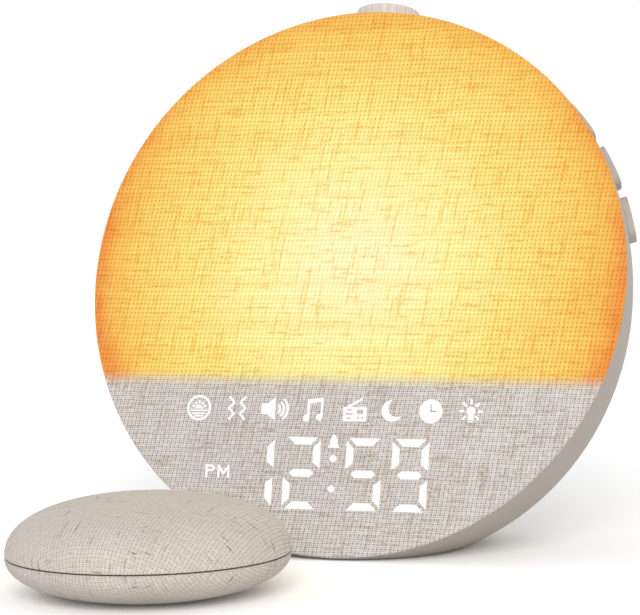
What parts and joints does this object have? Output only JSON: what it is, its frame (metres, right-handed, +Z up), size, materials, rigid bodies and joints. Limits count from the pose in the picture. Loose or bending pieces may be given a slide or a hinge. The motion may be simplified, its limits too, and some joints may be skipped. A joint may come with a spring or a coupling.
{
  "type": "sunrise alarm clock",
  "caption": "Round leaning sunrise alarm clock with a cloth front, lit digits, top knob and side buttons, and a separate round vibrating pad.",
  "frame": {"origin": "on the ground under the clock, at the middle of its base contact", "axes": "+Z up, front towards -Y, +X to the right of someone facing the clock"},
  "size_m": [0.19, 0.2242, 0.1879],
  "materials": {
    "housing_plastic": "smooth satin greige",
    "control_plastic": "satin, slightly darker greige",
    "face_linen": "plain woven linen, lit from behind in its upper part",
    "pad_linen": "fine plain woven linen",
    "lit_white": "light shining through the weave",
    "white_plastic": "white, light-scattering",
    "clear_plastic": "clear light guide",
    "black_plastic": "plain black",
    "board_green": "solder mask",
    "led_yellow": "phosphor",
    "led_orange": "phosphor",
    "steel": "bright",
    "copper_lead": "insulated wire",
    "flex_amber": "polyimide film",
    "foot_rubber": "soft matte",
    "seam_dark": "dark sealing ring",
    "battery_film": "wrapped cell",
    "cone_paper": "dark cone",
    "brass_weight": "turned"
  },
  "bodies": {
    "clock": {"front_housing": "housing_plastic", "back_cover": "housing_plastic", "rubber_feet": "foot_rubber", "cover_screws": "steel", "icon_lights": "lit_white", "lit_segments": "lit_white", "light_pipes": "clear_plastic", "display_leds": "led_yellow", "display_block": "black_plastic", "display_board": "board_green", "cloth_face": "face_linen", "light_diffuser": "white_plastic", "reflector_tray": "white_plastic", "led_board": "board_green", "warm_leds": "led_yellow", "amber_leds": "led_orange", "middle_frame": "black_plastic", "frame_screws": "steel", "main_board": "board_green", "board_screws": "steel", "board_chips": "black_plastic", "board_capacitors": "steel", "coin_cell_holder": "black_plastic", "coin_cell": "steel", "display_ribbon": "flex_amber", "light_leads": "copper_lead", "speaker_leads": "copper_lead", "power_leads": "copper_lead", "button_bracket": "black_plastic", "button_flex_board": "flex_amber", "tact_switches": "black_plastic", "encoder_body": "steel", "encoder_board": "board_green", "speaker_gasket": "foot_rubber", "speaker_frame": "steel", "speaker_magnet": "steel", "speaker_cone": "cone_paper", "usb_inlet": "steel", "usb_tongue": "black_plastic", "inlet_board": "board_green"},
    "alarm_button": {"alarm_button": "control_plastic"},
    "light_button": {"light_button": "control_plastic"},
    "sound_button": {"sound_button": "control_plastic"},
    "knob_press_carrier": {"press_plate": "steel"},
    "knob": {"volume_knob": "control_plastic", "encoder_shaft": "steel"},
    "pad": {"pad_top_cloth": "pad_linen", "pad_bottom_cloth": "pad_linen", "pad_top_shell": "white_plastic", "pad_bottom_shell": "white_plastic", "pad_seam_ring": "seam_dark", "pad_screws": "steel", "pad_charge_port": "steel", "pad_port_board": "board_green", "pad_board": "board_green", "pad_battery": "battery_film", "pad_motor": "steel", "pad_motor_cradle": "black_plastic"},
    "pad_weight": {"pad_motor_shaft": "steel", "pad_eccentric_weight": "brass_weight"}
  },
  "joints": [
    {"name": "alarm_button_push", "type": "slide", "parent": "clock", "child": "alarm_button", "axis": [-0.7638, -0.1714, -0.6223], "range_m": [0, 0.0006], "stiffness_N_per_m": 900, "springref_m": -0.0006},
    {"name": "light_button_push", "type": "slide", "parent": "clock", "child": "light_button", "axis": [-0.8788, -0.1267, -0.46], "range_m": [0, 0.0006], "stiffness_N_per_m": 900, "springref_m": -0.0006},
    {"name": "sound_button_push", "type": "slide", "parent": "clock", "child": "sound_button", "axis": [-0.9578, -0.0763, -0.277], "range_m": [0, 0.0006], "stiffness_N_per_m": 900, "springref_m": -0.0006},
    {"name": "knob_push", "type": "slide", "parent": "clock", "child": "knob_press_carrier", "axis": [0, -0.2656, -0.9641], "range_m": [0, 0.0005], "stiffness_N_per_m": 900, "springref_m": -0.0006},
    {"name": "knob_turn", "type": "hinge", "parent": "knob_press_carrier", "child": "knob", "pos_m": [0, 0.03504, 0.1808], "axis": [0, 0.2656, 0.9641], "continuous": true},
    {"name": "pad_lift", "type": "slide", "parent": "clock", "child": "pad", "axis": [0, 0, 1], "range_m": [0, 0.12]},
    {"name": "pad_weight_spin", "type": "hinge", "parent": "pad", "child": "pad_weight", "pos_m": [-0.0359, -0.1087, 0.0175], "axis": [1, 0, 0], "continuous": true}
  ]
}
